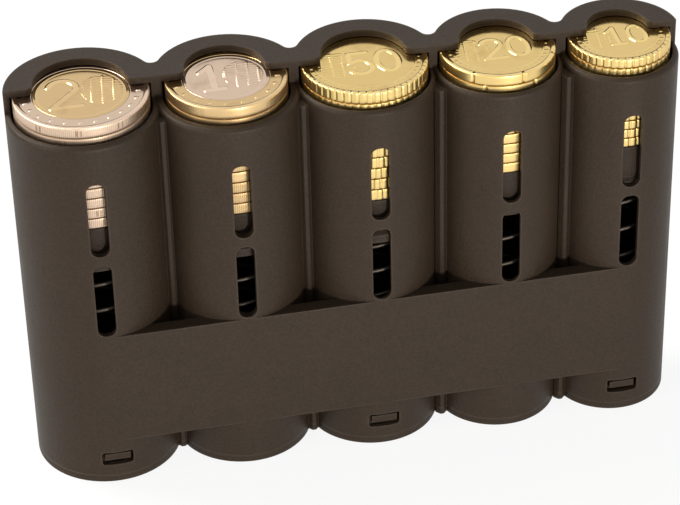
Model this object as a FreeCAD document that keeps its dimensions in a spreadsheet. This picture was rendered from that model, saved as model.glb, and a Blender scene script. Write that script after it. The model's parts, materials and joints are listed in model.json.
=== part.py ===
import math
import os

import FreeCAD
import Part
import Sketcher

# Pocket coin dispenser: five sprung tubes side by side in one moulding. Millimetres, +Z up, the front
# faces -Y, and the origin is the middle of the footprint. Tube 1 is the widest, at -X.
TUBES = ("one", "two", "three", "four", "five")
BIMETAL_TUBES = ("one", "two")
WINDOW_TUBES = ("one", "three", "five")
NEIGHBOURS = tuple(zip(TUBES, TUBES[1:]))
SIZES = {
    # coins and the tubes that hold them
    "coin_dia_one": 25.75,
    "coin_dia_two": 23.25,
    "coin_dia_three": 24.25,
    "coin_dia_four": 22.25,
    "coin_dia_five": 19.75,
    "coin_thick_one": 2.20,
    "coin_thick_two": 2.33,
    "coin_thick_three": 2.38,
    "coin_thick_four": 2.14,
    "coin_thick_five": 1.93,
    "core_dia_one": 18.4,
    "core_dia_two": 16.6,
    "core_fit": 0.02,
    "coin_gap": 0.02,
    "coin_rim_width": 0.9,
    "coin_rim_rise": 0.12,
    "coin_count": 10,
    "bore_clearance": 0.45,
    # the coins lie towards the back of their bores
    "coin_shift": 0.3,
    "wall_one": 1.15,
    "wall_two": 1.65,
    "wall_three": 0.85,
    "wall_four": 0.85,
    "wall_five": 1.15,
    "pitch_one": 27.4,
    "pitch_two": 26.5,
    "pitch_three": 25.7,
    "pitch_four": 23.75,
    # height of the moulding, and the step from its top down to the tubes' front rims
    "top_height": 82.8,
    "rim_drop": 4.7,
    "rim_round": 0.9,
    "cover_thick": 1.5,
    # lip that holds the coins down
    "lip_thick": 1.4,
    "lip_hold": 4.0,
    "lip_back": 4.1,
    "lip_front": 1.0,
    "lip_corner": 1.6,
    # ribs in the front valleys between the tubes, and webs that round the back valleys
    "rib_thick": 0.7,
    "rib_reach": 6.2,
    "rib_slope": 0.9,
    "rib_foot": 2.4,
    "rib_drop": 1.2,
    "web_thick": 2.6,
    "valley_round": 1.5,
    # flat front panel across the tubes
    "panel_bottom": 9.9,
    "panel_height": 25.1,
    "panel_thick": 2.8,
    # sight slots: two above each other, the lower one starts just above the panel
    "slot_width": 3.6,
    "slot_corner": 1.6,
    "slot_lift": 0.4,
    "low_slot_height": 16.4,
    "slot_bridge": 2.1,
    "high_slot_height": 16.1,
    # snap windows and hooks
    "window_width": 6.2,
    "window_bottom": 4.1,
    "window_height": 3.0,
    "window_corner": 0.5,
    "hook_fit": 0.2,
    "hook_thick": 0.8,
    "hook_inset": 0.6,
    "barb_thick": 1.7,
    "barb_fit": 0.6,
    "barb_lift": 0.8,
    "barb_height": 1.5,
    # pushers
    "pusher_height": 9.5,
    "pusher_wall": 1.0,
    "pusher_top": 1.2,
    "pusher_chamfer": 0.5,
    "pusher_band": 1.6,
    "pusher_waist": 0.8,
    "pusher_clearance": 0.3,
    # springs and their seats in the cover
    "spigot_fit": 0.15,
    "spigot_height": 1.0,
    "boss_height": 2.0,
    "spring_wire": 0.9,
    "spring_turns": 11,
    "spring_play": 0.4,
    "spring_seat_gap": 0.05,
    "spring_start_one": -70,
    "spring_start_two": 90,
    "spring_start_three": 170,
    "spring_start_four": 60,
    "spring_start_five": -110,
    "end_turn_pitch": 1.4,
    # how far a cut runs on beyond the material
    "cut_margin": 1.0,
}
END_TURNS = 1.0  # closed turns at each end of a spring
EASE_TURNS = 0.5  # turns over which the coils open to their full pitch
TOUCH = 0.01  # edges this close to a line count as on it

# Worked out from the sizes. Every tube's front is flush with the front of the first.
FORMULAS = {
    "rim_height": "top_height - rim_drop",
    "lip_underside": "top_height - lip_thick",
    "seat_height": "cover_thick + spigot_height",
    "panel_top": "panel_bottom + panel_height",
    "window_top": "window_bottom + window_height",
}
for tube in TUBES:
    FORMULAS |= {
        f"coin_radius_{tube}": f"coin_dia_{tube} / 2",
        f"coin_pitch_{tube}": f"coin_thick_{tube} + coin_gap",
        f"bore_radius_{tube}": f"coin_radius_{tube} + bore_clearance",
        f"tube_radius_{tube}": f"bore_radius_{tube} + wall_{tube}",
        f"tube_y_{tube}": f"tube_radius_{tube} - tube_radius_one",
        f"coin_y_{tube}": f"tube_y_{tube} + coin_shift",
        f"pusher_radius_{tube}": f"bore_radius_{tube} - pusher_clearance",
        f"waist_radius_{tube}": f"pusher_radius_{tube} - pusher_waist",
        f"skirt_radius_{tube}": f"waist_radius_{tube} - pusher_wall",
        f"spring_radius_{tube}": f"skirt_radius_{tube} - spring_play - spring_wire / 2",
        f"pusher_face_{tube}": f"lip_underside - coin_pitch_{tube} * coin_count - coin_gap",
        f"lip_opening_radius_{tube}": f"coin_radius_{tube} - lip_hold",
        f"lip_opening_y_{tube}":
            f"tube_y_{tube} + tube_radius_{tube} - lip_back - lip_opening_radius_{tube}",
    }
FORMULAS["row_length"] = "pitch_one + pitch_two + pitch_three + pitch_four"
FORMULAS["tube_x_one"] = "(tube_radius_one - row_length - tube_radius_five) / 2"
for tube, after in NEIGHBOURS:
    FORMULAS |= {
        f"tube_x_{after}": f"tube_x_{tube} + pitch_{tube}",
        # where the outer circles of this tube and the next one cross
        f"excess_{tube}": f"(tube_radius_{tube}^2 - tube_radius_{after}^2) / pitch_{tube}",
        f"joint_x_{tube}": f"tube_x_{tube} + (pitch_{tube} + excess_{tube}) / 2",
        # centre of the arc that touches both circles from behind
        f"step_{tube}": f"tube_y_{after} - tube_y_{tube}",
        f"span_{tube}": f"sqrt(pitch_{tube}^2 + step_{tube}^2)",
        f"near_{tube}": f"tube_radius_{tube} + valley_round",
        f"far_{tube}": f"tube_radius_{after} + valley_round",
        f"along_{tube}": f"(near_{tube}^2 - far_{tube}^2 + span_{tube}^2) / span_{tube} / 2",
        f"across_{tube}": f"sqrt(near_{tube}^2 - along_{tube}^2)",
        f"valley_x_{tube}":
            f"tube_x_{tube} + (pitch_{tube} * along_{tube} - step_{tube} * across_{tube}) / span_{tube}",
        f"valley_y_{tube}":
            f"tube_y_{tube} + (step_{tube} * along_{tube} + pitch_{tube} * across_{tube}) / span_{tube}",
    }
FORMULAS["axes_slope"] = "tube_y_five / row_length"

doc = FreeCAD.newDocument("coin_dispenser")
sheet = doc.addObject("Spreadsheet::Sheet", "sizes")
cells = {name: str(number) for name, number in SIZES.items()}
cells |= {name: f"={formula}" for name, formula in FORMULAS.items()}
for row, (name, content) in enumerate(cells.items(), start=1):
    sheet.set(f"A{row}", name)
    sheet.setAlias(f"B{row}", name)
    sheet.set(f"B{row}", content)
doc.recompute()


class Size:
    """A number together with the sheet expression that gives it."""

    def __init__(self, text, number):
        self.text = text
        self.number = number

    def join(self, sign, other, result):
        other_text = other.text if isinstance(other, Size) else str(other)
        return Size(f"({self.text} {sign} {other_text})", result)

    def __add__(self, other):
        return self.join("+", other, self.number + number_of(other))

    def __sub__(self, other):
        return self.join("-", other, self.number - number_of(other))

    def __mul__(self, other):
        return self.join("*", other, self.number * number_of(other))

    def __truediv__(self, other):
        return self.join("/", other, self.number / number_of(other))

    def __neg__(self):
        return self * -1

    def is_zero(self):
        return abs(self.number) < 1e-9


ZERO = Size("0", 0.0)


def number_of(value):
    return value.number if isinstance(value, Size) else float(value)


def size(name):
    return Size(f"sizes.{name}", float(sheet.get(name)))


def of_tube(name, tube):
    return size(f"{name}_{tube}")


def tube_x(tube):
    return of_tube("tube_x", tube)


def tube_y(tube):
    return of_tube("tube_y", tube)


def axes_line(x):
    # y of the slanting line through the axes of the first and last tubes
    return size("axes_slope") * (x - size("tube_x_one"))


def coin_bottom(tube, number):
    # number 1 is the top coin
    return size("lip_underside") - of_tube("coin_pitch", tube) * number


def node_name(kind, tube):
    return f"{kind}_{TUBES.index(tube) + 1}"


def bind(item, **values):
    for name, value in values.items():
        item.setExpression(name, value.text)


def new_body(label):
    body = doc.addObject("PartDesign::Body", label)
    body.Label = label
    return body


def place(item, x, y, z):
    item.Placement.Base = FreeCAD.Vector(x.number, y.number, z.number)
    item.setExpression("Placement.Base.x", x.text)
    item.setExpression("Placement.Base.y", y.text)
    item.setExpression("Placement.Base.z", z.text)


def new_sketch(body, name, plane, height):
    """Sketch on one of the body's own planes, moved out of it by the height."""
    sketch = body.newObject("Sketcher::SketchObject", name)
    support = [item for item in body.Origin.OriginFeatures if item.Role == plane][0]
    sketch.AttachmentSupport = (support, [""])
    sketch.MapMode = "FlatFace"
    sketch.AttachmentOffset.Base = FreeCAD.Vector(0, 0, height.number)
    sketch.setExpression("AttachmentOffset.Base.z", height.text)
    return sketch


def hold(sketch, kind, items, value):
    index = sketch.addConstraint(Sketcher.Constraint(kind, *items, value.number))
    name = f"{kind.lower()}_{index}"
    sketch.renameConstraint(index, name)
    sketch.setExpression(f"Constraints.{name}", value.text)


def hold_spot(sketch, item, end, x, y):
    """Keep a point of the sketch at x, y. A point at zero is kept on that axis instead."""
    if x.is_zero() and y.is_zero():
        sketch.addConstraint(Sketcher.Constraint("Coincident", item, end, -1, 1))
        return
    if x.is_zero():
        sketch.addConstraint(Sketcher.Constraint("PointOnObject", item, end, -2))
    else:
        hold(sketch, "DistanceX", (-1, 1, item, end), x)
    if y.is_zero():
        sketch.addConstraint(Sketcher.Constraint("PointOnObject", item, end, -1))
    else:
        hold(sketch, "DistanceY", (-1, 1, item, end), y)


def draw_circle(sketch, x, y, radius):
    centre = FreeCAD.Vector(x.number, y.number, 0)
    circle = Part.Circle(centre, FreeCAD.Vector(0, 0, 1), radius.number)
    index = sketch.addGeometry(circle, False)
    hold_spot(sketch, index, 3, x, y)
    hold(sketch, "Radius", (index,), radius)


def draw_outline(sketch, points):
    """Closed outline of straight lines."""
    first = sketch.GeometryCount
    spots = [FreeCAD.Vector(x.number, y.number, 0) for x, y in points]
    count = len(spots)
    for index in range(count):
        sketch.addGeometry(Part.LineSegment(spots[index], spots[(index + 1) % count]), False)
    for index in range(count):
        after = first + (index + 1) % count
        sketch.addConstraint(Sketcher.Constraint("Coincident", first + index, 2, after, 1))
    for index, (x, y) in enumerate(points):
        hold_spot(sketch, first + index, 1, x, y)


def draw_web(sketch, tube, after):
    """Fills the valley behind two tubes up to an arc that runs smoothly into both."""
    x = of_tube("joint_x", tube)
    half = size("web_thick") / 2
    y = axes_line(x)
    turn = size("valley_round")
    valley_x = of_tube("valley_x", tube)
    valley_y = of_tube("valley_y", tube)
    touches = []
    for side, reach in ((tube, of_tube("near", tube)), (after, of_tube("far", tube))):
        share = of_tube("tube_radius", side) / reach
        touch_x = tube_x(side) + (valley_x - tube_x(side)) * share
        touch_y = tube_y(side) + (valley_y - tube_y(side)) * share
        touches.append((touch_x, touch_y))
    spots = [touches[0], (x - half, y), (x + half, y), touches[1]]
    points = [FreeCAD.Vector(a.number, b.number, 0) for a, b in spots]
    centre = FreeCAD.Vector(valley_x.number, valley_y.number, 0)
    angles = [math.atan2(point.y - centre.y, point.x - centre.x) for point in (points[0], points[3])]
    circle = Part.Circle(centre, FreeCAD.Vector(0, 0, 1), turn.number)
    first = sketch.GeometryCount
    for begin, end in zip(points, points[1:]):
        sketch.addGeometry(Part.LineSegment(begin, end), False)
    arc = sketch.addGeometry(Part.ArcOfCircle(circle, *angles), False)
    for index in (first, first + 1):
        sketch.addConstraint(Sketcher.Constraint("Coincident", index, 2, index + 1, 1))
    sketch.addConstraint(Sketcher.Constraint("Coincident", arc, 1, first, 1))
    sketch.addConstraint(Sketcher.Constraint("Coincident", arc, 2, first + 2, 2))
    hold_spot(sketch, first, 1, *spots[0])
    hold_spot(sketch, first + 1, 1, *spots[1])
    hold_spot(sketch, first + 2, 1, *spots[2])
    hold_spot(sketch, first + 2, 2, *spots[3])
    hold(sketch, "Radius", (arc,), turn)


def draw_rounded_profile(sketch, x, y, radius, height, corner):
    """Half section of a solid cylinder on the point x, y, with its top edge rounded."""
    wide = radius.number
    tall = height.number
    turn = corner.number
    foot = FreeCAD.Vector(x.number, y.number, 0)
    centre = foot + FreeCAD.Vector(wide - turn, tall - turn, 0)
    arc = Part.ArcOfCircle(Part.Circle(centre, FreeCAD.Vector(0, 0, 1), turn), 0, math.pi / 2)
    spots = [(0, 0), (wide, 0), (wide, tall - turn), (wide - turn, tall), (0, tall)]
    points = [foot + FreeCAD.Vector(across, up, 0) for across, up in spots]
    sketch.addGeometry(Part.LineSegment(points[0], points[1]), False)
    sketch.addGeometry(Part.LineSegment(points[1], points[2]), False)
    sketch.addGeometry(arc, False)
    sketch.addGeometry(Part.LineSegment(points[3], points[4]), False)
    sketch.addGeometry(Part.LineSegment(points[4], points[0]), False)
    hold_spot(sketch, 0, 1, x, y)
    sketch.addConstraint(Sketcher.Constraint("Coincident", 0, 2, 1, 1))
    sketch.addConstraint(Sketcher.Constraint("Tangent", 1, 2, 2, 1))
    sketch.addConstraint(Sketcher.Constraint("Tangent", 2, 2, 3, 1))
    sketch.addConstraint(Sketcher.Constraint("Coincident", 3, 2, 4, 1))
    sketch.addConstraint(Sketcher.Constraint("Coincident", 4, 2, 0, 1))
    sketch.addConstraint(Sketcher.Constraint("Horizontal", 0))
    sketch.addConstraint(Sketcher.Constraint("Vertical", 1))
    sketch.addConstraint(Sketcher.Constraint("Horizontal", 3))
    sketch.addConstraint(Sketcher.Constraint("Vertical", 4))
    hold(sketch, "DistanceX", (0, 1, 0, 2), radius)
    hold(sketch, "DistanceY", (4, 2, 4, 1), height)
    hold(sketch, "Radius", (2,), corner)


def draw_rectangle(sketch, x, y, width, height):
    """Rectangle that stands on the point x, y and reaches half its width to each side."""
    left = x - width / 2
    right = x + width / 2
    draw_outline(sketch, [(left, y), (right, y), (right, y + height), (left, y + height)])


def extrude(body, kind, name, sketch, length, reverse=False):
    feature = body.newObject(f"PartDesign::{kind}", name)
    feature.Profile = sketch
    feature.Type = 0
    feature.Reversed = reverse
    feature.Length = length.number
    feature.setExpression("Length", length.text)
    feature.Refine = False
    return feature


def pad_up(body, name, sketch, length):
    return extrude(body, "Pad", name, sketch, length)


def revolve(body, name, sketch, axis="V_Axis"):
    feature = body.newObject("PartDesign::Revolution", name)
    feature.Profile = sketch
    feature.ReferenceAxis = (sketch, [axis])
    feature.Angle = 360
    feature.Refine = False
    return feature


def round_edges(body, name, radius, wanted):
    """Fillet on the body's edges that the test picks out."""
    doc.recompute()
    base = body.Tip
    names = [f"Edge{i}" for i, edge in enumerate(base.Shape.Edges, start=1) if wanted(edge)]
    feature = body.newObject("PartDesign::Fillet", name)
    feature.Base = (base, names)
    feature.Radius = radius.number
    feature.setExpression("Radius", radius.text)
    return feature


def near(first, second):
    return abs(first - second) < TOUCH


def is_upright(edge):
    box = edge.BoundBox
    return box.XLength < TOUCH and box.YLength < TOUCH


def is_depthwise(edge):
    box = edge.BoundBox
    return box.XLength < TOUCH and box.ZLength < TOUCH


# Housing: one moulding with five bores, a scalloped outline and a lip over the back of each bore

def housing_lip_block(body):
    start = size("rim_height") - size("rim_round") * 2
    height = size("top_height") - start
    for tube in TUBES:
        sketch = new_sketch(body, f"lip_circle_{tube}", "XY_Plane", start)
        draw_circle(sketch, tube_x(tube), tube_y(tube), of_tube("tube_radius", tube))
        pad_up(body, f"lip_pad_{tube}", sketch, height)
    add_webs(body, "lip_webs", start, height)
    reach = size("tube_radius_one") + size("cut_margin")
    left = size("tube_x_one") - reach
    right = size("tube_x_five") + reach
    sketch = new_sketch(body, "front_cut_outline", "XY_Plane", size("top_height"))
    draw_outline(sketch, [
        (left, -reach),
        (right, -reach),
        (right, axes_line(right) + size("lip_front")),
        (left, axes_line(left) + size("lip_front")),
    ])
    extrude(body, "Pocket", "front_cut", sketch, height + size("cut_margin"))


def add_webs(body, name, start, height):
    sketch = new_sketch(body, f"{name}_outline", "XY_Plane", start)
    for tube, after in NEIGHBOURS:
        draw_web(sketch, tube, after)
    pad_up(body, name, sketch, height)


def add_ribs(body, name, start, height):
    # a narrow rib stands in the front of each valley, on a sloping foot that fills the valley's bottom
    sketch = new_sketch(body, f"{name}_outline", "XY_Plane", start)
    edge = size("rib_thick") / 2
    foot = size("rib_foot") / 2
    for tube in TUBES[:-1]:
        x = of_tube("joint_x", tube)
        back = axes_line(x)
        front = back - size("rib_reach")
        slope = front + size("rib_slope")
        draw_outline(sketch, [
            (x - edge, front),
            (x + edge, front),
            (x + foot, slope),
            (x + foot, back),
            (x - foot, back),
            (x - foot, slope),
        ])
    pad_up(body, name, sketch, height)


def housing_tubes(body):
    foot = size("cover_thick")
    height = size("rim_height") - foot
    turn = size("rim_round")
    for tube in TUBES:
        sketch = new_sketch(body, f"tube_profile_{tube}", "XZ_Plane", -tube_y(tube))
        draw_rounded_profile(sketch, tube_x(tube), foot, of_tube("tube_radius", tube), height, turn)
        revolve(body, f"tube_{tube}", sketch, "Edge5")


def housing_panel(body):
    first = size("tube_x_one")
    last = size("tube_x_five")
    front = -size("tube_radius_one")
    sketch = new_sketch(body, "panel_outline", "XY_Plane", size("panel_bottom"))
    draw_rectangle(sketch, (first + last) / 2, front, last - first, size("panel_thick"))
    pad_up(body, "panel", sketch, size("panel_top") - size("panel_bottom"))


def housing_bores(body):
    sketch = new_sketch(body, "bore_circles", "XY_Plane", size("cover_thick"))
    for tube in TUBES:
        draw_circle(sketch, tube_x(tube), tube_y(tube), of_tube("bore_radius", tube))
    depth = size("lip_underside") - size("cover_thick")
    extrude(body, "Pocket", "bores", sketch, depth, reverse=True)


def housing_lip_openings(body):
    sketch = new_sketch(body, "lip_opening_circles", "XY_Plane", size("top_height"))
    for tube in TUBES:
        y = of_tube("lip_opening_y", tube)
        draw_circle(sketch, tube_x(tube), y, of_tube("lip_opening_radius", tube))
    extrude(body, "Pocket", "lip_openings", sketch, size("lip_thick") + size("cut_margin"))


def draw_slots(sketch, tube):
    low = size("panel_top") + size("slot_lift")
    high = low + size("low_slot_height") + size("slot_bridge")
    draw_rectangle(sketch, tube_x(tube), low, size("slot_width"), size("low_slot_height"))
    draw_rectangle(sketch, tube_x(tube), high, size("slot_width"), size("high_slot_height"))


def draw_window(sketch, tube):
    height = size("window_height")
    draw_rectangle(sketch, tube_x(tube), size("window_bottom"), size("window_width"), height)


def housing_openings(body):
    # the cuts start clear of the walls and end inside the bores
    outside = size("tube_radius_one") + size("cut_margin")
    front = new_sketch(body, "front_opening_outlines", "XZ_Plane", outside)
    back = new_sketch(body, "back_window_outlines", "XZ_Plane", -outside)
    for tube in TUBES:
        draw_slots(front, tube)
    for tube in WINDOW_TUBES:
        draw_window(front, tube)
        draw_window(back, tube)
    depth = size("tube_radius_five") + size("cut_margin")
    extrude(body, "Pocket", "front_openings", front, depth)
    extrude(body, "Pocket", "back_windows", back, outside, reverse=True)


def is_side_of(edge, tubes, width):
    """True for an edge that runs front to back in the side of such an opening."""
    half = size(width).number / 2
    x = edge.BoundBox.XMin
    return is_depthwise(edge) and any(near(abs(x - tube_x(tube).number), half) for tube in tubes)


def slot_corners(edge):
    return is_side_of(edge, TUBES, "slot_width")


def window_corners(edge):
    # the housing's bottom edge ends lie lower, those of the slots higher
    low = edge.BoundBox.ZMax < size("window_top").number + TOUCH
    return low and is_side_of(edge, WINDOW_TUBES, "window_width")


def lip_corners(edge):
    # where the lip's straight front edge runs into an opening
    box = edge.BoundBox
    front = axes_line(Size("x", box.XMin)) + size("lip_front")
    at_top = near(box.ZMax, size("top_height").number)
    if not (is_upright(edge) and at_top and near(box.YMin, front.number)):
        return False
    for tube in TUBES:
        reach = of_tube("lip_opening_radius", tube) + TOUCH
        if abs(box.XMin - tube_x(tube).number) < reach.number:
            return True
    return False


def make_housing():
    body = new_body("housing")
    foot = size("cover_thick")
    wall_height = size("rim_height") - size("rib_drop") - foot
    housing_lip_block(body)
    housing_tubes(body)
    add_ribs(body, "ribs", foot, wall_height)
    add_webs(body, "webs", foot, wall_height)
    housing_panel(body)
    housing_bores(body)
    housing_lip_openings(body)
    housing_openings(body)
    body.Tip.Refine = True
    round_edges(body, "lip_rounding", size("lip_corner"), lip_corners)
    round_edges(body, "slot_rounding", size("slot_corner"), slot_corners)
    round_edges(body, "window_rounding", size("window_corner"), window_corners)
    return body


# Base cover: a plate with a spigot and a spring boss for each bore, and hooks that snap into the windows

def make_base_cover():
    body = new_body("base_cover")
    thick = size("cover_thick")
    for tube in TUBES:
        sketch = new_sketch(body, f"cover_circle_{tube}", "XY_Plane", ZERO)
        draw_circle(sketch, tube_x(tube), tube_y(tube), of_tube("tube_radius", tube))
        pad_up(body, f"cover_disc_{tube}", sketch, thick)
    add_ribs(body, "cover_ribs", ZERO, thick)
    add_webs(body, "cover_webs", ZERO, thick)
    spigots = new_sketch(body, "spigot_circles", "XY_Plane", thick)
    bosses = new_sketch(body, "boss_circles", "XY_Plane", thick)
    for tube in TUBES:
        draw_circle(spigots, tube_x(tube), tube_y(tube), of_tube("bore_radius", tube) - size("spigot_fit"))
        coil_inside = of_tube("spring_radius", tube) - size("spring_wire") / 2
        draw_circle(bosses, tube_x(tube), tube_y(tube), coil_inside - size("spring_play"))
    pad_up(body, "spigots", spigots, size("spigot_height"))
    pad_up(body, "bosses", bosses, size("spigot_height") + size("boss_height"))
    add_hooks(body)
    body.Tip.Refine = True
    return body


def add_hooks(body):
    """Flat spring arms inside the bores, each with a barb that stands in its window."""
    width = size("window_width") - size("hook_fit") * 2
    barb_width = size("window_width") - size("barb_fit") * 2
    top = size("window_top") - size("hook_fit")
    barb_bottom = size("window_bottom") + size("barb_lift")
    arms = new_sketch(body, "arm_outlines", "XY_Plane", size("cover_thick"))
    barbs = new_sketch(body, "barb_outlines", "XY_Plane", barb_bottom)
    for tube in WINDOW_TUBES:
        # the flat arm stands back from the round bore by the arc's rise over its width
        rise = width * width / (of_tube("bore_radius", tube) * 8)
        face = of_tube("bore_radius", tube) - rise - size("hook_fit")
        tip = of_tube("tube_radius", tube) - size("hook_inset")
        draw_pair(arms, tube, face, width, size("hook_thick"))
        draw_pair(barbs, tube, tip, barb_width, size("barb_thick"))
    pad_up(body, "arms", arms, top - size("cover_thick"))
    pad_up(body, "barbs", barbs, size("barb_height"))


def draw_pair(sketch, tube, reach, width, thick):
    # one rectangle in front of the tube's axis and one behind it, both facing outwards
    x = tube_x(tube)
    y = tube_y(tube)
    draw_rectangle(sketch, x, y - reach, width, thick)
    draw_rectangle(sketch, x, y + reach - thick, width, thick)


# Pushers: upturned cups that carry the coins, each guided by a band round its foot

def make_pusher(tube):
    body = new_body(node_name("pusher", tube))
    radius = of_tube("pusher_radius", tube)
    waist = of_tube("waist_radius", tube)
    inside = of_tube("skirt_radius", tube)
    band = size("pusher_band")
    height = size("pusher_height")
    ceiling = height - size("pusher_top")
    chamfer = size("pusher_chamfer")
    sketch = new_sketch(body, "cup_profile", "XZ_Plane", ZERO)
    draw_outline(sketch, [
        (ZERO, height),
        (ZERO, ceiling),
        (inside, ceiling),
        (inside, ZERO),
        (radius, ZERO),
        (radius, band),
        (waist, band + size("pusher_waist")),
        (waist, height - chamfer),
        (waist - chamfer, height),
    ])
    revolve(body, "cup", sketch)
    place(body, tube_x(tube), tube_y(tube), of_tube("pusher_face", tube) - height)
    return body


# Springs: round wire with closed ends, from the cover's seat to the underside of the pusher

def spring_height(turn, turns, end_pitch, pitch):
    """Rise of the wire after so many turns, the same from both ends."""
    if turn > turns / 2:
        whole = 2 * spring_height(turns / 2, turns, end_pitch, pitch)
        return whole - spring_height(turns - turn, turns, end_pitch, pitch)
    if turn <= END_TURNS:
        return end_pitch * turn
    eased = min(turn - END_TURNS, EASE_TURNS)
    extra = (pitch - end_pitch) * eased * eased / (2 * EASE_TURNS)
    rise = end_pitch * (END_TURNS + eased) + extra
    return rise + pitch * max(turn - END_TURNS - EASE_TURNS, 0)


def spring_slope(turn, turns, end_pitch, pitch):
    closest = min(turn, turns - turn)
    share = min(max((closest - END_TURNS) / EASE_TURNS, 0), 1)
    return end_pitch + (pitch - end_pitch) * share


def arc_edges(start, start_way, end, end_way):
    """Two tangent arcs from start to end with the given directions."""
    chord = end - start
    both = start_way + end_way
    a = 2 - 2 * start_way.dot(end_way)
    b = chord.dot(both)
    reach = (math.sqrt(b * b + a * chord.dot(chord)) - b) / a
    first = start + start_way * reach
    second = end - end_way * reach
    middle = (first + second) / 2
    return [arc_through(start, first, middle), arc_through(middle, second, end)]


def arc_through(start, corner, end):
    middle = (start + end) / 2
    out = corner - middle
    half = (end - start).Length / 2
    rise = half * math.tan(math.atan2(out.Length, half) / 2)
    return Part.Arc(start, middle + out * (rise / out.Length), end).toShape()


def make_spring(tube):
    wire = size("spring_wire").number
    radius = of_tube("spring_radius", tube).number
    turns = int(size("spring_turns").number)
    gap = size("spring_seat_gap").number
    end_pitch = size("end_turn_pitch").number
    low = size("seat_height").number + wire / 2 + gap
    high = of_tube("pusher_face", tube).number - size("pusher_top").number - wire / 2 - gap
    slow_turns = 2 * END_TURNS + EASE_TURNS
    pitch = (high - low - slow_turns * end_pitch) / (turns - slow_turns)
    start = math.radians(of_tube("spring_start", tube).number)
    centre = FreeCAD.Vector(tube_x(tube).number, tube_y(tube).number, low)

    def spot(turn):
        angle = start + 2 * math.pi * turn
        rise = spring_height(turn, turns, end_pitch, pitch)
        return centre + FreeCAD.Vector(radius * math.cos(angle), radius * math.sin(angle), rise)

    def way(turn):
        angle = start + 2 * math.pi * turn
        along = spring_slope(turn, turns, end_pitch, pitch) / (2 * math.pi)
        return FreeCAD.Vector(-radius * math.sin(angle), radius * math.cos(angle), along).normalize()

    steps = [half / 2 for half in range(2 * turns + 1)]
    edges = []
    for before, after in zip(steps, steps[1:]):
        edges += arc_edges(spot(before), way(before), spot(after), way(after))
    lead = spot(0) - way(0) * wire
    tail = spot(turns) + way(turns) * wire
    first = Part.LineSegment(lead, spot(0)).toShape()
    last = Part.LineSegment(spot(turns), tail).toShape()
    path = Part.Wire([first] + edges + [last])
    section = Part.Wire(Part.Circle(lead, way(0), wire / 2).toShape())
    name = node_name("spring", tube)
    spring = doc.addObject("Part::Feature", name)
    spring.Label = name
    spring.Shape = path.makePipeShell([section], True, False)
    print(f"{name}: pitch {pitch:.2f} mm, least gap {least_gap(edges, wire):.2f} mm")
    return spring


def least_gap(edges, wire):
    """Smallest gap between stretches of wire that lie at least three quarters of a turn apart."""
    points_per_arc = 4
    apart = 3 * points_per_arc
    points = [point for edge in edges for point in edge.discretize(points_per_arc + 1)[:-1]]
    least = min((a - b).Length for i, a in enumerate(points) for b in points[i + apart:])
    return least - wire


# Coins: a plain stack in each tube, and above it the top coin with its rim

def make_coin_stack(tube):
    name = node_name("coin_stack", tube)
    stack = doc.addObject("Part::Compound", name)
    stack.Label = name
    coins = []
    for number in range(2, int(size("coin_count").number) + 1):
        coin = doc.addObject("Part::Cylinder", f"{name}_coin_{number}")
        coin.Radius = of_tube("coin_radius", tube).number
        coin.Height = of_tube("coin_thick", tube).number
        bind(coin, Radius=of_tube("coin_radius", tube), Height=of_tube("coin_thick", tube))
        place(coin, tube_x(tube), of_tube("coin_y", tube), coin_bottom(tube, number))
        coins.append(coin)
    stack.Links = coins
    return stack


def make_disc(label, tube, points):
    body = new_body(label)
    sketch = new_sketch(body, "profile", "XZ_Plane", ZERO)
    draw_outline(sketch, points)
    revolve(body, "disc", sketch)
    place(body, tube_x(tube), of_tube("coin_y", tube), coin_bottom(tube, 1))
    return body


def rim_points(tube):
    radius = of_tube("coin_radius", tube)
    thick = of_tube("coin_thick", tube)
    inner = radius - size("coin_rim_width")
    rise = size("coin_rim_rise")
    return [
        (inner, rise),
        (inner, ZERO),
        (radius, ZERO),
        (radius, thick),
        (inner, thick),
        (inner, thick - rise),
    ]


def make_top_coin(tube):
    low = size("coin_rim_rise")
    high = of_tube("coin_thick", tube) - low
    name = node_name("top_coin", tube)
    rim = rim_points(tube)
    if tube not in BIMETAL_TUBES:
        return [make_disc(name, tube, [(ZERO, low)] + rim + [(ZERO, high)])]
    core = of_tube("core_dia", tube) / 2
    seat = core + size("core_fit")
    ring = make_disc(f"{name}_ring", tube, [(seat, low)] + rim + [(seat, high)])
    plug = make_disc(f"{name}_core", tube, [(ZERO, low), (core, low), (core, high), (ZERO, high)])
    return [ring, plug]


pieces = [make_housing(), make_base_cover()]
for tube in TUBES:
    pieces.append(make_pusher(tube))
    pieces.append(make_spring(tube))
    pieces.append(make_coin_stack(tube))
    pieces += make_top_coin(tube)
doc.recompute()

for item in doc.Objects:
    if "Invalid" in item.State or "Error" in item.State:
        raise RuntimeError(f"{item.Label} did not build: {item.State}")
for piece in pieces:
    if piece.Shape.isNull() or not piece.Shape.isValid():
        raise RuntimeError(f"{piece.Label} has no valid shape")

os.makedirs("parts", exist_ok=True)
for piece in pieces:
    piece.Shape.exportStep(f"parts/{piece.Label}.step")
    print(piece.Label, len(piece.Shape.Solids), "solids", round(piece.Shape.Volume, 1), "mm3")
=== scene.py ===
import json
import math

import bpy
import numpy as np
from mathutils import Matrix, Vector


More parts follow.
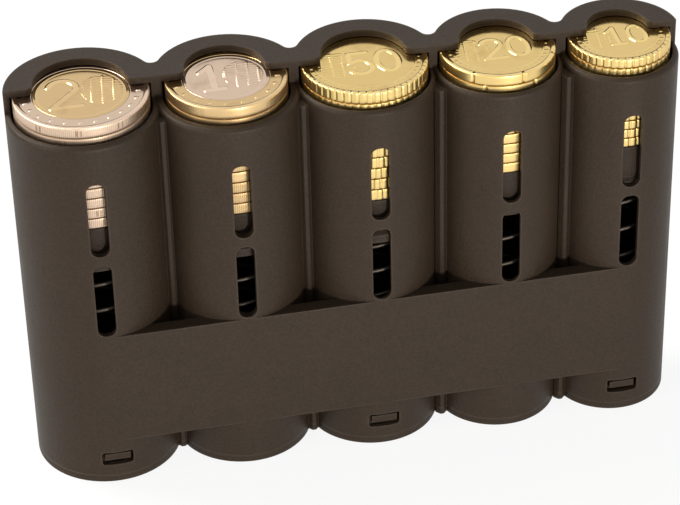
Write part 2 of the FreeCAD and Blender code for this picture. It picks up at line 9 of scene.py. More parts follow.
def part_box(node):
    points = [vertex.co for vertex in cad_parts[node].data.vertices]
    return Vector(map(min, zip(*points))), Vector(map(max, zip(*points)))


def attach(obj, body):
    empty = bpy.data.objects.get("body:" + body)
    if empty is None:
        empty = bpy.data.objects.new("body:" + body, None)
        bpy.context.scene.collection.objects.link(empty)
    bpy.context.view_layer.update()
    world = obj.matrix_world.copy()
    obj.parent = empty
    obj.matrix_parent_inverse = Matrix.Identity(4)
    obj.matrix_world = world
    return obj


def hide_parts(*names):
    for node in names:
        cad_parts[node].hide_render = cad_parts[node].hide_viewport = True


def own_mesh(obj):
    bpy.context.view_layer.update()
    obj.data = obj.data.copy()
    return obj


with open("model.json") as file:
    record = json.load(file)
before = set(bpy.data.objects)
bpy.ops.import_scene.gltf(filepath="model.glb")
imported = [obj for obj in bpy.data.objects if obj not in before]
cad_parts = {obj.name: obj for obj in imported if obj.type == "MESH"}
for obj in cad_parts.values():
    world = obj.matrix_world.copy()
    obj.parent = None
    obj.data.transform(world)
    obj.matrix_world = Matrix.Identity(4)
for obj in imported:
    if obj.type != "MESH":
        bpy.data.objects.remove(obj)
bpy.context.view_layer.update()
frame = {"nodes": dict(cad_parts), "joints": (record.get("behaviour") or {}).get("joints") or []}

mm = 0.001
fullTurn = 2 * math.pi
tubes = (1, 2, 3, 4, 5)
nodes = frame["nodes"]
jointOf = {joint["name"]: joint for joint in frame["joints"]}
print("frame loaded:", len(nodes), "nodes")


# Shader helpers

class Wire:
    # a socket that can stand in a sum: every operator adds one Math node
    def __init__(self, nodeTree, socket):
        self.nodeTree = nodeTree
        self.socket = socket

    def __add__(self, other):
        return self.nodeTree.combine("ADD", self, other)

    def __radd__(self, other):
        return self.nodeTree.combine("ADD", other, self)

    def __sub__(self, other):
        return self.nodeTree.combine("SUBTRACT", self, other)

    def __rsub__(self, other):
        return self.nodeTree.combine("SUBTRACT", other, self)

    def __mul__(self, other):
        return self.nodeTree.combine("MULTIPLY", self, other)

    def __rmul__(self, other):
        return self.nodeTree.combine("MULTIPLY", other, self)

    def atMost(self, other):
        return self.nodeTree.combine("MINIMUM", self, other)


class NodeTree:
    # the nodes of a material or of the world
    def __init__(self, owner, outputKind):
        owner.use_nodes = True
        self.tree = owner.node_tree
        self.tree.nodes.clear()
        self.output = self.tree.nodes.new(outputKind)

    def add(self, kind, settings=None, sockets=None, output=0):
        node = self.tree.nodes.new(kind)
        for key, value in (settings or {}).items():
            setattr(node, key, value)
        for key, value in (sockets or {}).items():
            self.plug(value, node.inputs[key])
        return Wire(self, node.outputs[output])

    def plug(self, value, socket):
        if isinstance(value, Wire):
            self.tree.links.new(value.socket, socket)
        else:
            socket.default_value = value

    def show(self, surface):
        self.plug(surface, self.output.inputs["Surface"])

    def combine(self, operation, first, second):
        return self.add("ShaderNodeMath", {"operation": operation}, {0: first, 1: second})

    def seen(self):
        # 1 for what the camera sees, straight or as a reflection, 0 for light on its way to a surface
        direct = self.add("ShaderNodeLightPath", output="Is Camera Ray")
        mirrored = self.add("ShaderNodeLightPath", output="Is Glossy Ray")
        return (direct + mirrored).atMost(1.0)


class Shader(NodeTree):
    # one material with one Principled surface
    def __init__(self, name, metallic=0.0, specular=0.5):
        self.material = bpy.data.materials.new(name)
        super().__init__(self.material, "ShaderNodeOutputMaterial")
        self.surface = self.add("ShaderNodeBsdfPrincipled", sockets={
            "Metallic": metallic, "Specular IOR Level": specular})
        self.show(self.surface)

    def feed(self, colour, roughness, normal=None):
        inputs = self.surface.socket.node.inputs
        self.plug(colour, inputs["Base Color"])
        self.plug(roughness, inputs["Roughness"])
        if normal is not None:
            self.plug(normal, inputs["Normal"])

    def place(self):
        return self.add("ShaderNodeTexCoord", output="Object")

    def attribute(self, name):
        return self.add("ShaderNodeAttribute", {"attribute_name": name}, output="Fac")

    def noise(self, vector, scale, detail, roughness=0.5, stretch=None):
        if stretch:
            vector = self.add("ShaderNodeMapping", sockets={"Vector": vector, "Scale": stretch})
        return self.add("ShaderNodeTexNoise", sockets={
            "Vector": vector, "Scale": scale, "Detail": detail, "Roughness": roughness})

    def steps(self, value, none, full):
        # 0 at none and beyond, 1 at full and beyond, smooth in between; either may be the larger
        return self.add("ShaderNodeMapRange", {"interpolation_type": "SMOOTHSTEP"}, {
            "Value": value, "From Min": none, "From Max": full})

    def blend(self, share, first, second):
        sockets = {0: share, 6: first, 7: second}   # the factor and the two colours
        return self.add("ShaderNodeMix", {"data_type": "RGBA"}, sockets, output=2)

    def bump(self, height, depth, strength, normal=None):
        sockets = {"Height": height, "Distance": depth, "Strength": strength}
        if normal is not None:
            sockets["Normal"] = normal
        return self.add("ShaderNodeBump", sockets=sockets)


def rgb(colour, factor=1.0, lift=0.0):
    # a colour made lighter or darker, with its alpha
    return (*[value * factor + lift for value in colour], 1.0)


# Mesh helpers

def buildMesh(name, points, faces, body, shader):
    # faces is a list of integer arrays, one per face size; every face is smooth
    mesh = bpy.data.meshes.new(name)
    mesh.vertices.add(len(points))
    mesh.vertices.foreach_set("co", np.asarray(points, np.float32).ravel())
    loops = np.concatenate([block.ravel() for block in faces])
    sizes = np.concatenate([np.full(len(block), block.shape[1]) for block in faces])
    starts = np.concatenate([[0], np.cumsum(sizes)[:-1]])
    mesh.loops.add(len(loops))
    mesh.loops.foreach_set("vertex_index", loops.astype(np.int32))
    mesh.polygons.add(len(sizes))
    mesh.polygons.foreach_set("loop_start", starts.astype(np.int32))
    mesh.polygons.foreach_set("use_smooth", np.ones(len(sizes), bool))
    mesh.update(calc_edges=True)
    mesh.validate()
    piece = bpy.data.objects.new(name, mesh)
    bpy.context.scene.collection.objects.link(piece)
    mesh.materials.append(shader.material)
    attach(piece, body)
    return piece


def wrapRows(rows, columns, start=0, joined=False):
    # quads between neighbouring rows of points, closed round each row; joined adds the quads from the
    # last row back to the first
    row = np.arange(rows if joined else rows - 1)[:, None]
    column = np.arange(columns)[None, :]
    after = (column + 1) % columns
    here, there = row * columns, (row + 1) % rows * columns
    quads = np.stack([here + column, here + after, there + after, there + column], -1)
    return quads.reshape(-1, 4) + start


def endFans(rows, columns, start=0):
    # triangles from the first row to one point more, and from the last row to another one after it
    column = np.arange(columns)
    after = (column + 1) % columns
    last = (rows - 1) * columns
    pole = np.full(columns, rows * columns)
    first = np.stack([after, column, pole], -1)
    return start + np.concatenate([first, np.stack([last + column, last + after, pole + 1], -1)])


def smooth(value, low, high):
    # 0 below low, 1 above high, and between them three squares of the share less two cubes
    share = np.clip((value - low) / (high - low), 0, 1)
    return share * share * (3 - 2 * share)


# Moulded plastics

plasticLook = {
    "mouldedHousing": {"colour": (0.0290, 0.0193, 0.0122), "roughness": 0.5, "grainStrength": 1.0,
                       "nodes": ["housing"]},
    "mouldedCover": {"colour": (0.0280, 0.0188, 0.0118), "roughness": 0.52, "grainStrength": 1.0,
                     "nodes": ["base_cover"]},
    "mouldedPusher": {"colour": (0.0300, 0.0208, 0.0138), "roughness": 0.46, "grainStrength": 0.5,
                      "nodes": [f"pusher_{tube}" for tube in tubes]},
}
plasticFinish = {
    "specular": 0.18,
    "grain": {"scale": 2100, "detail": 4, "roughness": 0.65},
    "cloud": {"scale": 70, "detail": 3, "roughness": 0.55},
    "flow": {"scale": 420, "detail": 2, "stretch": (1, 1, 0.12)},
    "rub": {"scale": 240, "detail": 4, "roughness": 0.65, "stretch": (1, 1, 0.35)},
    "grainSteps": (0.32, 0.68), "rubSteps": (0.62, 0.78), "wornHighlitSteps": (0.95, 0.45),
    "dark": 0.68, "light": 1.32,         # the two tones of the grain, times the colour
    "pale": 2.1, "paleLift": 0.008,      # rubbed plastic and painted highlight on edges, times the colour and on top of that
    "tone": {"cloud": 0.35, "grain": 0.65, "rub": 0.14, "wornAndHighlitEdge": 0.9},
    "rough": {"cloud": 0.16, "flow": 0.1, "rub": 0.08, "wornAndHighlitEdge": 0.24},
    "wornHighlitReach": 0.4 * mm, "wornHighlitLeast": 0.3, "edgeRadius": 0.35 * mm, "edgeSamples": 4,
    "grainDepth": 0.06 * mm, "flowDepth": 0.02 * mm, "flowStrength": 0.4,
}


def mouldedPlastic(name, look):
    # dark moulded plastic: fine spark-eroded grain, faint cloudiness, a few pale rubbed marks, and
    # edges that look rounded, are worn smoother, and are paler from wear and from a painted highlight
    finish = plasticFinish
    tone, rough = finish["tone"], finish["rough"]
    shader = Shader(name, specular=finish["specular"])
    place = shader.place()
    grain = shader.noise(place, **finish["grain"])
    cloud = shader.noise(place, **finish["cloud"])
    flow = shader.noise(place, **finish["flow"])
    rub = shader.steps(shader.noise(place, **finish["rub"]), *finish["rubSteps"])
    speckle = shader.steps(grain, *finish["grainSteps"])
    base = shader.blend(cloud * tone["cloud"] + speckle * tone["grain"],
                        rgb(look["colour"], finish["dark"]), rgb(look["colour"], finish["light"]))
    inside = shader.add(
        "ShaderNodeAmbientOcclusion",
        {"samples": finish["edgeSamples"], "inside": True, "only_local": True},
        {"Distance": finish["wornHighlitReach"]}, output=1)
    # painted highlight: convex edges turn paler, partly wear and partly standing in for light caught on
    # rounded edges
    wornAndHighlitEdge = shader.steps(inside, *finish["wornHighlitSteps"]) * (cloud + finish["wornHighlitLeast"]).atMost(1.0)
    rubbedAndHighlit = (rub * tone["rub"] + wornAndHighlitEdge * tone["wornAndHighlitEdge"]).atMost(1.0)
    rounded = shader.add("ShaderNodeBevel", {"samples": finish["edgeSamples"]},
                         {"Radius": finish["edgeRadius"]})
    fine = shader.bump(grain, finish["grainDepth"], look["grainStrength"], rounded)
    shader.feed(
        colour=shader.blend(rubbedAndHighlit, base, rgb(look["colour"], finish["pale"], finish["paleLift"])),
        roughness=((cloud - 0.5) * rough["cloud"] + (flow - 0.5) * rough["flow"] + rub * rough["rub"]
                   - wornAndHighlitEdge * rough["wornAndHighlitEdge"] + look["roughness"]),
        normal=shader.bump(flow, finish["flowDepth"], finish["flowStrength"], fine),
    )
    return shader


for name, look in plasticLook.items():
    plastic = mouldedPlastic(name, look)
    for node in look["nodes"]:
        nodes[node].data.materials.clear()
        nodes[node].data.materials.append(plastic.material)
print("plastics painted")


# Metals

# the tarnish colour is also the painted shade where stacked coins lie on each other
metalLook = {
    "silver": {"colour": (0.74, 0.56, 0.415), "tarnishAndShade": (0.30, 0.21, 0.14), "roughness": 0.13},
    "gold": {"colour": (0.83, 0.615, 0.245), "tarnishAndShade": (0.34, 0.19, 0.05), "roughness": 0.11},
    "brass": {"colour": (0.745, 0.525, 0.262), "tarnishAndShade": (0.30, 0.18, 0.07), "roughness": 0.12},
    "wire": {"colour": (0.075, 0.062, 0.052), "tarnishAndShade": (0.04, 0.034, 0.03), "roughness": 0.5},
}
metalFinish = {
    "cloud": {"scale": 180, "detail": 4, "roughness": 0.6}, "cloudSteps": (0.48, 0.75),
    "alongX": {"scale": 900, "detail": 3, "roughness": 0.6, "stretch": (0.15, 1, 1)},
    "alongY": {"scale": 1100, "detail": 3, "roughness": 0.6, "stretch": (1, 0.12, 1)},
    "dull": {"cloud": 0.22, "hollowTarnishAndShade": 0.8, "groove": 0.35},
    "rough": {"scratch": 0.14, "side": 0.2, "dull": 0.16},
    "scratchDepth": 0.01 * mm, "scratchStrength": 0.5,
    "groovePitch": 0.38, "grooveSteps": (0.1, 0.9),      # the pitch is in millimetres, as lap is
    "grooveDepth": 0.03 * mm, "grooveStrength": 0.7,
}


def wornMetal(name, look, struck):
    # cloudy tarnish and fine scratches both ways; a struck metal is also tarnished in its hollows and
    # darkened by painted shade where stacked coins lie on each other, rougher on its side, and finely
    # grooved round its edge where the ribbed attribute is one
    finish = metalFinish
    tarnishAndShade, uneven = finish["dull"], finish["rough"]
    shader = Shader(name, metallic=1.0)
    place = shader.place()
    cloud = shader.steps(shader.noise(place, **finish["cloud"]), *finish["cloudSteps"])
    alongX = shader.noise(place, **finish["alongX"])
    alongY = shader.noise(place, **finish["alongY"])
    scratches = alongX * 0.5 + alongY * 0.5
    dull = cloud * tarnishAndShade["cloud"]
    rough = (scratches - 0.5) * uneven["scratch"] + look["roughness"]
    normal = shader.bump(scratches, finish["scratchDepth"], finish["scratchStrength"])
    if struck:
        wave = shader.combine("COSINE", shader.attribute("lap") * (fullTurn / finish["groovePitch"]), 0.0)
        groove = shader.steps(wave, *finish["grooveSteps"]) * shader.attribute("ribbed")
        # this attribute holds tarnish in hollows and, on stacked coins, painted shade at their touching
        # corners
        hollowTarnishAndShade = shader.attribute("hollowTarnishAndShade")
        dull = (dull + hollowTarnishAndShade * tarnishAndShade["hollowTarnishAndShade"] + groove * tarnishAndShade["groove"]).atMost(1.0)
        rough = rough + shader.attribute("side") * uneven["side"]
        normal = shader.bump(1 - groove, finish["grooveDepth"], finish["grooveStrength"], normal)
    shader.feed(
        colour=shader.blend(dull, rgb(look["colour"]), rgb(look["tarnishAndShade"])),
        roughness=dull * uneven["dull"] + rough,
        normal=normal,
    )
    return shader


coinShader = {metal: wornMetal(f"{metal}Coin", metalLook[metal], True)
              for metal in ("silver", "gold", "brass")}
wireShader = wornMetal("drawnWire", metalLook["wire"], False)


# Coins, all in millimetres until the mesh is built

# strokes about the middle of a digit, in parts of its height: an arc has its middle, its two radii and
# the degrees that it goes from and to, and a line has its points, after the arc if there is one
digitStrokes = {
    "1": [{"line": [(-0.2, 0.26), (0.04, 0.5), (0.04, -0.5)]}, {"line": [(-0.16, -0.5), (0.24, -0.5)]}],
    "2": [{"arc": (0.0, 0.23, 0.27, 0.27, 165, -38), "line": [(-0.28, -0.5), (0.3, -0.5)]}],
    "5": [{"line": [(0.26, 0.5), (-0.19, 0.5), (-0.23, 0.05)]},
          {"arc": (0.0, -0.18, 0.29, 0.32, 128, -150)}],
    "0": [{"arc": (0.0, 0.0, 0.27, 0.5, 0, 360)}],
}
# a coin's metals are from the outside in; height, centre and line are the digits' size, place and half
# width; edge is its kind, and count how many equal parts it has; lens is the place of the struck lens
coinLook = {
    1: {"metals": ("silver", "brass"), "digits": "2", "height": 9.6, "centre": (-3.2, 0.2), "line": 0.60,
        "edge": "marked", "count": 10, "beads": 24, "lens": (3.9, 0.4), "lensSize": 4.6},
    2: {"metals": ("brass", "silver"), "digits": "1", "height": 8.6, "centre": (-2.9, 0.2), "line": 0.60,
        "edge": "parted", "count": 6, "beads": 20, "lens": (3.2, 0.2), "lensSize": 4.4},
    3: {"metals": ("gold",), "digits": "50", "height": 7.6, "centre": (1.6, -0.9), "line": 0.50,
        "edge": "scallop", "count": 52, "beads": 46, "lens": (-5.4, -0.6), "lensSize": 4.2},
    4: {"metals": ("gold",), "digits": "20", "height": 7.0, "centre": (1.4, -0.6), "line": 0.46,
        "edge": "notch", "count": 7, "beads": 42, "lens": (-4.9, -0.6), "lensSize": 3.9},
    5: {"metals": ("gold",), "digits": "10", "height": 6.2, "centre": (1.2, -0.5), "line": 0.42,
        "edge": "scallop", "count": 42, "beads": 38, "lens": (-4.2, -0.5), "lensSize": 3.4},
}
coinRelief = {
    "rimWidth": 0.9, "rimRise": 0.12, "rimFall": 0.15, "corner": 0.24, "cornerTurns": (22, 45, 68, 90),
    "cornerLead": 0.06, "leadShare": 0.6,        # flat before the corner; edge pattern where it starts
    "edgeRows": (0.32, 0.5, 0.68), "faceStep": 0.14, "middleOut": 0.08, "ringGap": 0.02, "coreBevel": 0.05,
    "fieldTarnish": 0.28, "stackShade": 1.2,     # values of the attribute for tarnish in hollows; stackShade is painted shade
    "topColumns": 616, "stackColumns": 352, "stackCount": 9, "stackSeed": 40,
}
faceLook = {
    "digitStep": 0.72, "arcPoints": 22, "strokeRise": 0.15, "soft": 0.13,
    "clear": (0.5, 0.8),                         # bare margin round the digits, from and to
    "oneMetal": {"beadIn": 1.75, "beadSize": 0.26, "circleIn": 2.35},
    "twoMetals": {"beadIn": 0.3, "beadSize": 0.42, "circleIn": 0.75},
    "beadRise": 0.7, "beadSoft": 0.14,           # each rise is a share of the strokes'
    "lensStretch": (1.15, 0.9), "lensSoft": (0.25, 0.05),
    "waveRise": 0.6, "wavePitch": 0.78, "waveWidth": 0.26, "waveSlope": 0.25, "waveSwing": 0.35,
    "waveRate": (1.1, 0.6),
    "crossRise": 0.8, "crossPitch": 2.1, "crossWidth": 0.3, "crossSlope": 0.1,
    "circleRise": 0.45, "circleWidth": 0.24, "lineSoft": (0.07, 0.09),
}
edgeLook = {
    "scallopDepth": 0.15, "scallopSpread": (0.04, 0.24),     # the spread in parts of a scallop
    "notchDepth": 0.26, "notchSpread": (0.008, 0.04),        # the spread in radians
    "dashes": ((0.2, 0.03), (0.3, 0.018)),                   # place and half length in parts of the pitch
}


def strokePoints(arc=None, line=()):
    # the arc's middle and its radii times cosine and sine of the turn, then the line's points
    points = np.array(line, float).reshape(-1, 2)
    if arc is None:
        return points
    x, y, wide, tall, begin, end = arc
    turn = np.radians(np.linspace(begin, end, faceLook["arcPoints"]))
    return np.concatenate([np.stack([x + wide * np.cos(turn), y + tall * np.sin(turn)], -1), points])


def digitPaths(digits, height, centre):
    # the strokes of the digits, set side by side about the given centre
    paths = []
    step = faceLook["digitStep"] * height
    for index, digit in enumerate(digits):
        shift = (index - (len(digits) - 1) / 2) * step
        for stroke in digitStrokes[digit]:
            paths.append(strokePoints(**stroke) * height + (shift + centre[0], centre[1]))
    return paths


def distanceTo(paths, x, y):
    # distance from every point to the nearest straight piece of the paths
    nearest = np.full(x.shape, np.inf)
    for path in paths:
        for (ax, ay), (bx, by) in zip(path, path[1:]):
            dx, dy = bx - ax, by - ay
            share = ((x - ax) * dx + (y - ay) * dy) / (dx * dx + dy * dy)
            share = np.clip(share, 0, 1)
            nearest = np.minimum(nearest, np.hypot(x - ax - share * dx, y - ay - share * dy))
    return nearest


def ridge(offset, width):
    # 1 on a line of the given width, falling softly to 0 on both sides of it
    inner, outer = faceLook["lineSoft"]
    return 1 - smooth(np.abs(offset), width / 2 - inner, width / 2 + outer)


def ridges(value, pitch, width):
    # evenly spaced lines: the value less its nearest whole number of pitches
    return ridge((value + pitch / 2) % pitch - pitch / 2, width)


def faceRelief(tube, x, y, radius, core):
    # height of the struck face above its field: the highest of the digits, a ring of beads, a lens of
    # slanting wavy lines crossed by nearly upright ones, and a circle line
    look, face = coinLook[tube], faceLook
    soft, rise = face["soft"], face["strokeRise"]
    layout = face["oneMetal" if core is None else "twoMetals"]
    beadFrom, circleFrom = (radius, radius) if core is None else ((radius + core) / 2, core)
    across = np.hypot(x, y)
    toDigits = distanceTo(digitPaths(look["digits"], look["height"], look["centre"]), x, y)
    height = rise * (1 - smooth(toDigits, look["line"] - soft, look["line"] + soft))
    clear = smooth(toDigits, look["line"] + face["clear"][0], look["line"] + face["clear"][1])
    part = fullTurn / look["beads"]
    offset = (np.arctan2(y, x) + math.pi) % part - part / 2
    beadAt = beadFrom - layout["beadIn"]
    toBead = np.hypot(across - beadAt, offset * beadAt)
    beadSize, beadSoft = layout["beadSize"], face["beadSoft"]
    beads = 1 - smooth(toBead, beadSize - beadSoft, beadSize + beadSoft)
    height = np.maximum(height, face["beadRise"] * rise * beads)
    (lensX, lensY), (stretchX, stretchY) = look["lens"], face["lensStretch"]
    toLens = np.hypot((x - lensX) * stretchX, (y - lensY) * stretchY)
    softIn, softOut = face["lensSoft"]
    lens = (1 - smooth(toLens, look["lensSize"] - softIn, look["lensSize"] + softOut)) * clear
    rateX, rateY = face["waveRate"]
    slant = face["waveSwing"] * np.sin(x * rateX + rateY * y) + y + face["waveSlope"] * x
    waves = face["waveRise"] * ridges(slant, face["wavePitch"], face["waveWidth"])
    leaning = x - face["crossSlope"] * y
    crossings = face["crossRise"] * ridges(leaning, face["crossPitch"], face["crossWidth"])
    height = np.maximum(height, rise * lens * np.maximum(waves, crossings))
    circle = ridge(across - (circleFrom - layout["circleIn"]), face["circleWidth"])
    return np.maximum(height, face["circleRise"] * rise * circle * clear)


def edgePattern(tube, turn):
    # round the edge: how far it lies inside the full radius, 1 where it is finely ribbed, and 1 on
    # small sunk dashes, in pairs; each follows the place in one of the edge's equal parts
    part = fullTurn / coinLook[tube]["count"]
    offset = np.abs(turn % part - part / 2)
    dip, ribs, marks = np.zeros((3, len(turn)))
    kind = coinLook[tube]["edge"]
    if kind == "scallop":
        near, far = edgeLook["scallopSpread"]
        dip = edgeLook["scallopDepth"] * (1 - smooth(offset, near * part, far * part))
    elif kind == "notch":
        dip = edgeLook["notchDepth"] * (1 - smooth(offset, *edgeLook["notchSpread"]))
    elif kind == "parted":
        ribs = turn // part % 2
    else:
        ribs = np.ones(len(turn))
        for middle, half in edgeLook["dashes"]:
            marks = np.maximum(marks, np.abs(turn % part / part - middle) < half)
    return dip, ribs, marks


def coinRows(radius, thick, inner, struck):
    # profile from the inside of the bottom face round the edge to the inside of the top face, each row
    # with its distance out, its height, its share of the edge pattern, 1 where it carries the struck
    # face, and 1 where it is the middle of the edge
    rise, corner = coinRelief["rimRise"], coinRelief["corner"]
    rimIn = radius - coinRelief["rimWidth"]
    flat = rimIn - coinRelief["rimFall"]
    bottom = [(inner, rise, 0, 0, 0), (flat, rise, 0, 0, 0)]
    rim = [(rimIn, 0, 0, 0, 0), (radius - corner - coinRelief["cornerLead"], 0, 0, 0, 0),
           (radius - corner, 0, coinRelief["leadShare"], 0, 0)]
    rim += [(radius - corner * (1 - math.sin(turn)), corner * (1 - math.cos(turn)), 1, 0, 0)
            for turn in np.radians(coinRelief["cornerTurns"])]
    middle = [(radius, thick * share, 1, 0, 1) for share in coinRelief["edgeRows"]]
    upperRim = [(out, thick - up, share, 0, 0) for out, up, share, _, _ in rim[::-1]]
    count = int((flat - inner) / coinRelief["faceStep"]) + 1 if struck else 2
    top = [(out, thick - rise, 0, struck, 0) for out in np.linspace(flat, inner, count)]
    return np.array(bottom + rim + middle + upperRim + top, float)


def coreRows(core, thick):
    # the same for the core of a coin of two metals: a small bevel, a plain side and a struck top
    rise, bevel, middle = coinRelief["rimRise"], coinRelief["coreBevel"], coinRelief["middleOut"]
    side = [(middle, rise), (core - bevel, rise), (core, rise + bevel), (core, thick - rise - bevel)]
    top = np.arange(core - bevel, middle, -coinRelief["faceStep"])
    return np.array([(*row, 0, 0, 0) for row in side] + [(out, thick - rise, 0, 1, 0) for out in top])


def coinBlock(tube, radius, rows, columns, place, phase=0.0, core=None, cornerShade=0.0, closed=True):
    # each row's distance out times cosine and sine of the turn, less its share of the edge's dip, and
    # its height plus the face's relief; cornerShade is painted shade that darkens the rounded corners,
    # where the coins of a stack lie on each other; a closed block has a middle point on both faces
    turn = fullTurn / 4 + np.arange(columns) * fullTurn / columns
    out, up, share, _, middle = rows.T[:, :, None]
    dip, ribs, marks = edgePattern(tube, turn + phase)
    x = (out - share * dip) * np.cos(turn)
    y = (out - share * dip) * np.sin(turn)
    up = np.repeat(up, columns, 1)
    corner = (share > 0) & (middle == 0) & (out < radius)
    # painted shade on the corners where stacked coins touch, together with tarnish in the sunk dashes
    hollowTarnishAndShade = np.maximum(middle * marks, cornerShade * corner)
    struck = rows[:, 3] > 0
    if struck.any():
        relief = faceRelief(tube, x[struck], y[struck], radius, core)
        up[struck] += relief
        field = 1 - np.clip(relief / faceLook["strokeRise"], 0, 1)
        hollowTarnishAndShade[struck] = coinRelief["fieldTarnish"] * field
    points = np.stack([x, y, up], -1).reshape(-1, 3)
    lap = radius * np.abs(turn - 0.75 * fullTurn)        # the way round the edge from its front
    values = {"hollowTarnishAndShade": hollowTarnishAndShade, "ribbed": share * ribs, "lap": lap, "side": share}
    values = {key: np.broadcast_to(value, x.shape).ravel() for key, value in values.items()}
    if closed:
        points = np.concatenate([points, [[0, 0, points[0, 2]], [0, 0, points[-1, 2]]]])
        values = {key: np.concatenate([value, value[[0, -1]]]) for key, value in values.items()}
    return {"points": points + place, "values": values, "rows": len(rows), "columns": columns,
            "closed": closed}


def coinPiece(name, blocks, metal, replaced, body):
    # one piece of all the blocks, with the values at the blocks' points as attributes
    quads, fans = [], []
    start = 0
    for block in blocks:
        rows, columns, closed = block["rows"], block["columns"], block["closed"]
        quads.append(wrapRows(rows, columns, start, joined=not closed))
        if closed:
            fans.append(endFans(rows, columns, start))
        start += len(block["points"])
    points = np.concatenate([block["points"] for block in blocks])
    faces = [np.concatenate(group) for group in (quads, fans) if group]
    piece = buildMesh(name, points * mm, faces, body, coinShader[metal])
    for key in blocks[0]["values"]:
        layer = piece.data.attributes.new(key, "FLOAT", "POINT")
        value = np.concatenate([block["values"][key] for block in blocks])
        layer.data.foreach_set("value", value.astype(np.float32))
    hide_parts(replaced)


def coinBox(names):
    # lowest and highest corner of several nodes together
    lows, highs = zip(*[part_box(name) for name in names])
    low = np.min([list(corner) for corner in lows], 0)
    high = np.max([list(corner) for corner in highs], 0)
    return low / mm, high / mm


def coinPlaces(low, high, thick, count=1):
    # middle of each coin's bottom face, evenly spaced so that the stack fills its box
    pitch = ((high - low)[2] - thick) / max(count - 1, 1)
    levels = (np.arange(count) - (count - 1) / 2) * pitch
    return [(low + high) / 2 + (0, 0, level) - (0, 0, thick / 2) for level in levels]


def strikeTopCoin(tube):
    # a coin of one metal is one piece, and a coin of two is a ring and a core
    metals = coinLook[tube]["metals"]
    if len(metals) == 1:
        replaced = [f"top_coin_{tube}"]
    else:
        replaced = [f"top_coin_{tube}_ring", f"top_coin_{tube}_core"]
    low, high = coinBox(replaced)
    radius, thick = (high - low)[0] / 2, (high - low)[2]
    if len(metals) == 1:
        core = None
        shapes = [("coin", coinRows(radius, thick, coinRelief["middleOut"], True))]
    else:
        coreLow, coreHigh = coinBox(replaced[1:])
        core = (coreHigh - coreLow)[0] / 2
        ring = coinRows(radius, thick, core + coinRelief["ringGap"], True)
        shapes = [("ring", ring), ("core", coreRows(core, thick))]
    place = coinPlaces(low, high, thick)[0]
    for (kind, rows), metal, node in zip(shapes, metals, replaced):
        block = coinBlock(tube, radius, rows, coinRelief["topColumns"], place, core=core,
                          closed=kind != "ring")
        coinPiece(f"struck_{kind}_{tube}", [block], metal, node, f"coin_{tube}")
    return radius, thick


def strikeStack(tube, radius, thick):
    # plain-faced coins with the same edge, each one turned its own way
    node = f"coin_stack_{tube}"
    low, high = coinBox([node])
    count = coinRelief["stackCount"]
    rows = coinRows(radius, thick, coinRelief["middleOut"], False)
    phases = np.random.default_rng(coinRelief["stackSeed"] + tube).uniform(0, fullTurn, count)
    blocks = [coinBlock(tube, radius, rows, coinRelief["stackColumns"], place, phase,
                        cornerShade=coinRelief["stackShade"])
              for phase, place in zip(phases, coinPlaces(low, high, thick, count))]
    coinPiece(f"stacked_coins_{tube}", blocks, coinLook[tube]["metals"][0], node, f"carriage_{tube}")


for tube in tubes:
    coinRadius, coinThick = strikeTopCoin(tube)
    strikeStack(tube, coinRadius, coinThick)
print("coins struck")


# Springs

springLook = {
    "wire": 0.9, "turns": 11, "endPitch": 1.4,       # in millimetres; the end turns are nearly closed
    "endTurns": (1.0, 1.5),                          # where the pitch begins to open and is fully open
    "stepsPerTurn": 44, "sides": 12,
    "start": {1: -70, 2: 90, 3: 170, 4: 60, 5: -110},
}


def springLine(low, high):
    # turn and height of the wire's middle line at every step: the end pitch all along, and the rest of
    # the height spread over the even coils between the closed ends
    turns = springLook["turns"]
    turn = np.arange(turns * springLook["stepsPerTurn"] + 1) / springLook["stepsPerTurn"]
    speed = smooth(np.minimum(turn, turns - turn), *springLook["endTurns"])
    extra = np.concatenate([[0], np.cumsum((speed[1:] + speed[:-1]) / 2)])
    extra /= extra[-1]
    closed = springLook["endPitch"] * turn
    return turn, low + closed + extra * (high - low - closed[-1])


def wireSpring(tube):
    # a circle of wire carried along the helix: outward times its cosine plus across times its sine
    node, joint = f"spring_{tube}", jointOf[f"pusher_slide_{tube}"]
    low, high = (np.array(corner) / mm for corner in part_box(node))
    wire, sides = springLook["wire"], springLook["sides"]
    centre = (low + high) / 2
    radius = (high - low)[:2].max() / 2 - wire / 2
    turn, up = springLine(low[2] + wire / 2, high[2] - wire / 2)
    angle = math.radians(springLook["start"][tube]) + turn * fullTurn
    line = np.stack([centre[0] + radius * np.cos(angle), centre[1] + radius * np.sin(angle), up], -1)
    along = np.gradient(line, axis=0)
    along /= np.linalg.norm(along, axis=1)[:, None]
    outward = np.stack([np.cos(angle), np.sin(angle), np.zeros(len(angle))], -1)
    across = np.cross(along, outward)
    side = np.arange(sides)[None, :, None] * fullTurn / sides
    ring = (outward[:, None, :] * np.cos(side) + across[:, None, :] * np.sin(side)) * wire / 2
    points = np.concatenate([(line[:, None, :] + ring).reshape(-1, 3), line[[0, -1]]])
    faces = [wrapRows(len(line), sides), endFans(len(line), sides)]
    piece = buildMesh(f"wire_spring_{tube}", points * mm, faces, "housing", wireShader)
    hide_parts(f"spring_{tube}")
    travel = abs(joint["range_m"][0])
    seat = joint["deforming_nodes"][0]["fixed_end_z_m"]
    keep = 1 - travel / (high[2] * mm - seat)
    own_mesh(piece)


for tube in tubes:
    wireSpring(tube)
print("springs wound")


# Floor, background, lamps and camera

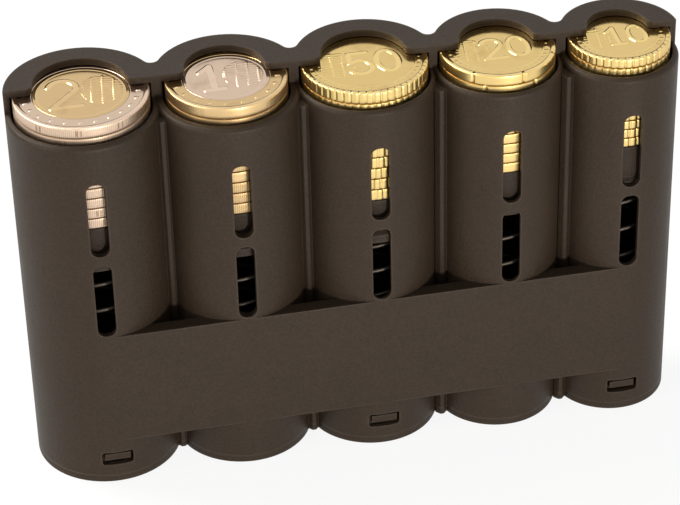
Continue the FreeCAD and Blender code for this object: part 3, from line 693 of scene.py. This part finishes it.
stageLook = {
    "floor": (0.86, 0.86, 0.85), "mottled": (0.8, 0.8, 0.79), "mottleShare": 0.04, "roughness": 0.9,
    "mottle": {"scale": 12, "detail": 3},
    "floorSize": 3.0, "floorDrop": 0.05 * mm,
    "glow": 1.04, "glowShare": 0.86,     # the floor's own white where it is seen; the rest has the shadow
    "world": 0.36,                       # the room as a light; where it is seen it is 1
}
white = rgb((1, 1, 1))


def addToScene(name, data):
    thing = bpy.data.objects.new(name, data)
    bpy.context.scene.collection.objects.link(thing)
    return thing


def paleFloor():
    # a square a little below the part, so that the two don't flicker where they would touch
    half, level = stageLook["floorSize"] / 2, -stageLook["floorDrop"]
    corners = [(-half, -half, level), (half, -half, level), (half, half, level), (-half, half, level)]
    mesh = bpy.data.meshes.new("paleFloor")
    mesh.from_pydata(corners, [], [(0, 1, 2, 3)])
    shader = Shader("floorPaper")
    mottle = shader.noise(shader.place(), **stageLook["mottle"])
    shader.feed(
        colour=shader.blend(mottle * stageLook["mottleShare"], rgb(stageLook["floor"]),
                            rgb(stageLook["mottled"])),
        roughness=stageLook["roughness"],
    )
    glow = shader.add("ShaderNodeEmission", sockets={"Color": white, "Strength": stageLook["glow"]})
    share = shader.seen() * stageLook["glowShare"]
    shader.show(shader.add("ShaderNodeMixShader", sockets={0: share, 1: shader.surface, 2: glow}))
    mesh.materials.append(shader.material)
    addToScene("paleFloor", mesh)


def whiteWorld():
    # white where it is seen, and a dimmer light on the part
    world = bpy.data.worlds.new("paleRoom")
    bpy.context.scene.world = world
    room = NodeTree(world, "ShaderNodeOutputWorld")
    strength = room.seen() * (1 - stageLook["world"]) + stageLook["world"]
    room.show(room.add("ShaderNodeBackground", sockets={"Color": white, "Strength": strength}))


lampLook = {
    "colour": (1.0, 0.94, 0.87), "aim": (0, 0, 0.045),
    "lamps": {
        "frontLamp": {"place": (0.13, -0.62, 0.034), "size": 0.066, "power": 2.75},
        "leftLamp": {"place": (-0.95, -0.35, 0.35), "size": 0.5, "power": 4.4},
        "backLamp": {"place": (-0.55, 0.45, 0.8), "size": 0.5, "power": 11.0},
    },
}


def softLamp(name, look):
    # a square lamp that faces the middle of the part
    light = bpy.data.lights.new(name, "AREA")
    light.size = look["size"]
    light.energy = look["power"]
    light.color = lampLook["colour"]
    place = Vector(look["place"])
    turn = (Vector(lampLook["aim"]) - place).to_track_quat("-Z", "Y").to_matrix().to_4x4()
    addToScene(name, light).matrix_world = Matrix.Translation(place) @ turn


cameraLook = {
    "focalPixels": 2812.5, "width": 680, "sensorWidth": 36, "clip": (0.01, 20),
    "azimuth": -10.79, "elevation": 34.58, "roll": -1.50,        # in degrees
    "target": (-2.50, -3.94, 40.30), "distance": 552.0,          # in millimetres
}


def studioCamera():
    # back points from the target to the camera, and the roll turns right and up about it
    azimuth, elevation, roll = (math.radians(cameraLook[key]) for key in ("azimuth", "elevation", "roll"))
    level = Vector((math.cos(azimuth), math.sin(azimuth), 0))
    back = Vector((math.sin(azimuth) * math.cos(elevation), -math.cos(azimuth) * math.cos(elevation),
                   math.sin(elevation)))
    upright = back.cross(level)
    right = level * math.cos(roll) + upright * math.sin(roll)
    up = upright * math.cos(roll) - level * math.sin(roll)
    place = (Vector(cameraLook["target"]) + back * cameraLook["distance"]) * mm
    data = bpy.data.cameras.new("studioCamera")
    data.sensor_fit = "HORIZONTAL"
    data.sensor_width = cameraLook["sensorWidth"]
    data.lens = cameraLook["focalPixels"] / cameraLook["width"] * cameraLook["sensorWidth"]
    data.clip_start, data.clip_end = cameraLook["clip"]
    camera = addToScene("studioCamera", data)
    camera.matrix_world = Matrix.Translation(place) @ Matrix((right, up, back)).transposed().to_4x4()
    bpy.context.scene.camera = camera


paleFloor()
whiteWorld()
for name, look in lampLook["lamps"].items():
    softLamp(name, look)
studioCamera()
bpy.context.scene.view_settings.view_transform = "Standard"
print("stage set")
